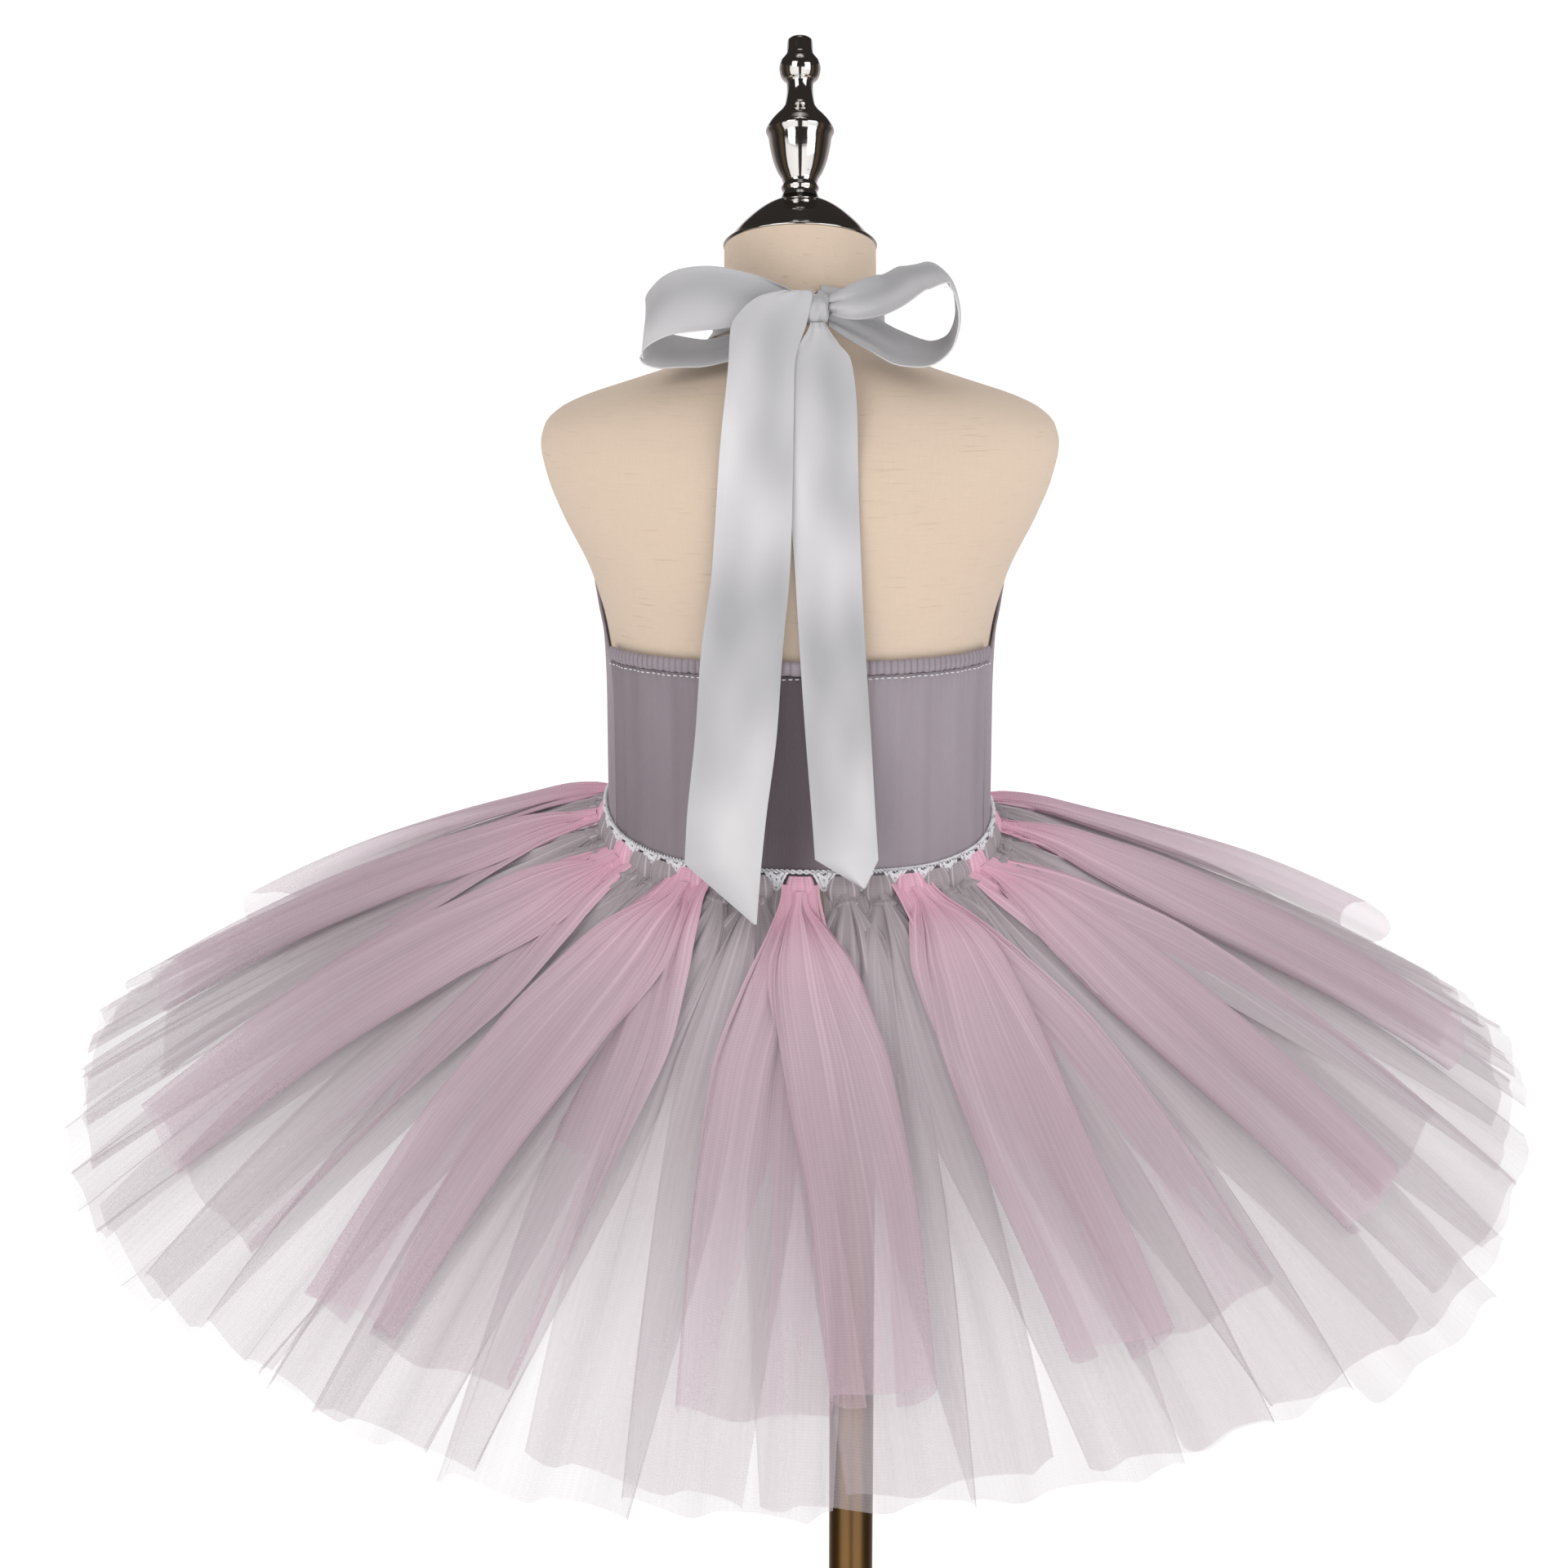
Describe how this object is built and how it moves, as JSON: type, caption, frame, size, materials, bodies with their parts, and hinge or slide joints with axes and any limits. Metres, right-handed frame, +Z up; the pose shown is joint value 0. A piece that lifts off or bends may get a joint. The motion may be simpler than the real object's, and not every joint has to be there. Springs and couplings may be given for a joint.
{
  "type": "tutu dress on a limbless dress form with a pole stand",
  "caption": "Child's halter tutu dress with a skirt of knotted tulle strips and a satin bow at the back of the neck, on a limbless dress form with a pole stand.",
  "frame": {"origin": "on the floor, under the middle of the skirt's outline", "axes": "+Z up; -Y is the dress's back, where the bow is; +X is the wearer's right"},
  "size_m": [0.8091, 0.6097, 1.0151],
  "materials": {
    "knit": "mauve-grey smooth stretch knit",
    "lace": "white crochet edging",
    "satin": "silver-grey satin ribbon",
    "tulle_grey": "sheer grey tulle",
    "tulle_pink": "sheer pink tulle",
    "linen": "cream linen cover, tight on the form",
    "chrome": "polished chrome",
    "steel": "satin steel"
  },
  "bodies": {
    "root": {"bodice_back": "knit", "bodice_front": "knit", "back_casing": "knit", "neck_casing": "knit", "waist_lace": "lace", "ribbon_neck_left": "satin", "ribbon_neck_right": "satin", "bow_knot": "satin", "bow_loop_left": "satin", "bow_loop_right": "satin", "ribbon_tail_left": "satin", "ribbon_tail_right": "satin", "tulle_grey_01": "tulle_grey", "tulle_grey_02": "tulle_grey", "tulle_grey_03": "tulle_grey", "tulle_grey_04": "tulle_grey", "tulle_grey_05": "tulle_grey", "tulle_grey_06": "tulle_grey", "tulle_grey_07": "tulle_grey", "tulle_grey_08": "tulle_grey", "tulle_grey_09": "tulle_grey", "tulle_grey_10": "tulle_grey", "tulle_grey_11": "tulle_grey", "tulle_grey_12": "tulle_grey", "tulle_grey_13": "tulle_grey", "tulle_grey_14": "tulle_grey", "tulle_grey_15": "tulle_grey", "tulle_grey_16": "tulle_grey", "tulle_grey_17": "tulle_grey", "tulle_grey_18": "tulle_grey", "tulle_grey_19": "tulle_grey", "tulle_grey_20": "tulle_grey", "tulle_grey_21": "tulle_grey", "tulle_grey_22": "tulle_grey", "tulle_grey_23": "tulle_grey", "tulle_grey_24": "tulle_grey", "tulle_pink_01": "tulle_pink", "tulle_pink_02": "tulle_pink", "tulle_pink_03": "tulle_pink", "tulle_pink_04": "tulle_pink", "tulle_pink_05": "tulle_pink", "tulle_pink_06": "tulle_pink", "tulle_pink_07": "tulle_pink", "tulle_pink_08": "tulle_pink", "tulle_pink_09": "tulle_pink", "tulle_pink_10": "tulle_pink", "tulle_pink_11": "tulle_pink", "tulle_pink_12": "tulle_pink", "form_torso": "linen", "neck_cap": "chrome", "finial": "chrome", "pole_flange": "steel", "pole": "steel", "base_collar": "steel", "base_plate": "steel"}
  },
  "joints": []
}
